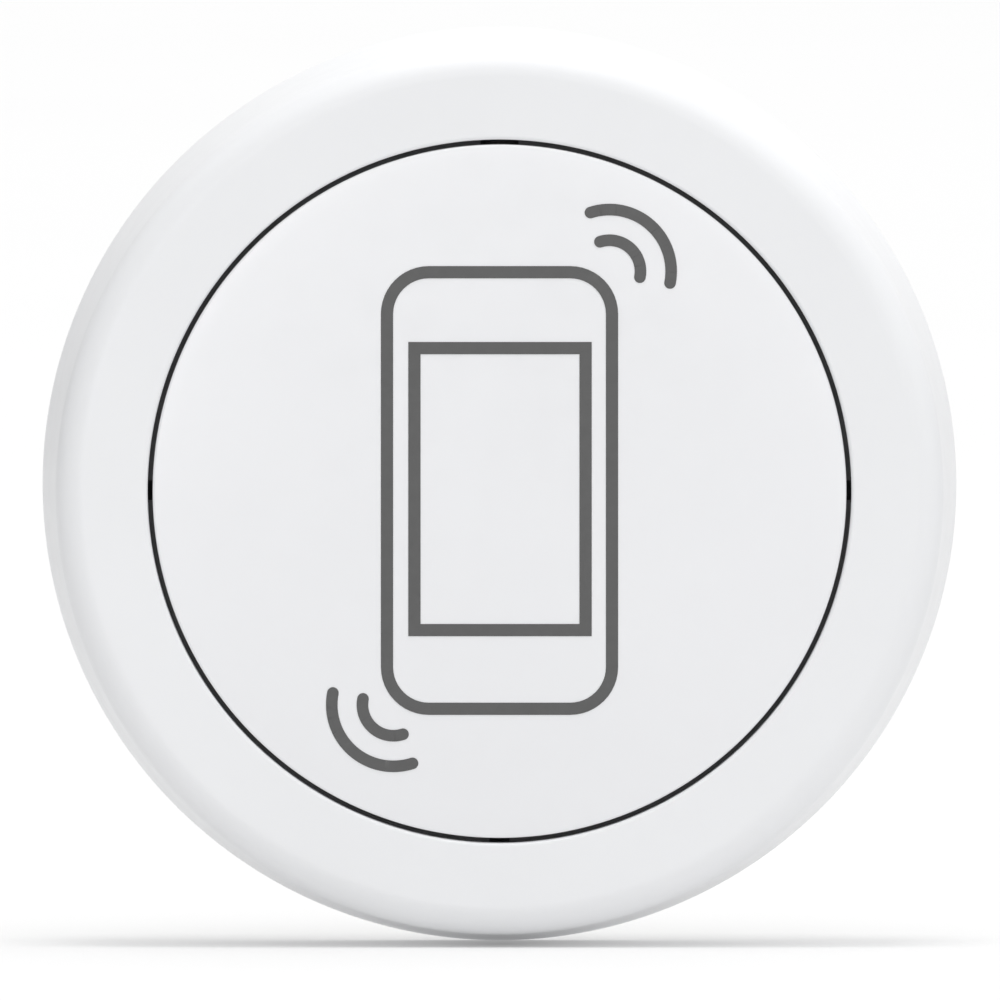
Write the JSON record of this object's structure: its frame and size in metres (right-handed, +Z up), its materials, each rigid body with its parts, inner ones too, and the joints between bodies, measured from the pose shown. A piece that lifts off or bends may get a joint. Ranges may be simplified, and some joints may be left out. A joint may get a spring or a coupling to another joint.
{
  "type": "bluetooth tracker tag",
  "caption": "Round white stick-on bluetooth tracker tag with a full-face push button, a printed phone icon and a twist-off adhesive base.",
  "frame": {"origin": "middle of the adhesive pad's outer face, which sticks to a wall or to the thing that is tracked", "axes": "+Z up as the icon reads, +Y into the wall, so the button faces -Y; +X is to the right of someone facing the button"},
  "size_m": [0.028, 0.008, 0.028],
  "materials": {
    "white_shell": "fine satin moulded plastic, very light grey-white",
    "white_button": "semi-gloss moulded plastic, very light grey-white",
    "grey_ink": "matt mid-grey printed ink",
    "dark_seal": "matt charcoal elastomer",
    "foam_adhesive": "closed-cell foam with a tacky face",
    "dark_tray": "matt dark moulded plastic",
    "steel": "satin stainless steel",
    "cell_gasket": "moulded nylon gasket",
    "gold_plate": "gold-plated spring bronze",
    "board": "black solder mask on glass epoxy",
    "chip_black": "black moulded package",
    "ceramic_cream": "cream ceramic",
    "ceramic_tan": "tan multilayer ceramic",
    "plunger": "off-white nylon"
  },
  "bodies": {
    "base": {"adhesive_pad": "foam_adhesive", "base_plate": "white_shell", "base_seal": "dark_seal"},
    "housing": {"outer_shell": "white_shell", "gap_seal": "dark_seal", "battery_tray": "dark_tray", "tray_screws": "steel", "cell_can": "steel", "cell_gasket": "cell_gasket", "cell_cap": "steel", "contact_positive": "gold_plate", "contact_negative": "gold_plate", "circuit_board": "board", "radio_chip": "chip_black", "main_crystal": "steel", "clock_crystal": "ceramic_cream", "chip_antenna": "ceramic_cream", "capacitors": "ceramic_tan", "resistors": "chip_black", "sounder_case": "chip_black", "sounder_disc": "gold_plate", "switch_base": "chip_black", "switch_dome": "steel", "switch_frame": "steel"},
    "button": {"button_cap": "white_button", "icon_phone": "grey_ink", "icon_screen": "grey_ink", "icon_waves_upper": "grey_ink", "icon_waves_lower": "grey_ink"},
    "plunger": {"switch_plunger": "plunger"}
  },
  "joints": [
    {"name": "twist_release", "type": "hinge", "parent": "base", "child": "housing", "pos_m": [0, 0, 0], "axis": [0, -1, 0], "range_deg": [0, 30]},
    {"name": "button_press", "type": "slide", "parent": "housing", "child": "button", "axis": [0, 1, 0], "range_m": [0, 0.00025], "stiffness_N_per_m": 6000},
    {"name": "switch_travel", "type": "slide", "parent": "housing", "child": "plunger", "axis": [0, 1, 0], "range_m": [0, 0.00025], "deforming": ["switch_dome"]}
  ],
  "couplings": [
    {"joint": "switch_travel", "follows": "button_press", "ratio": 1}
  ]
}
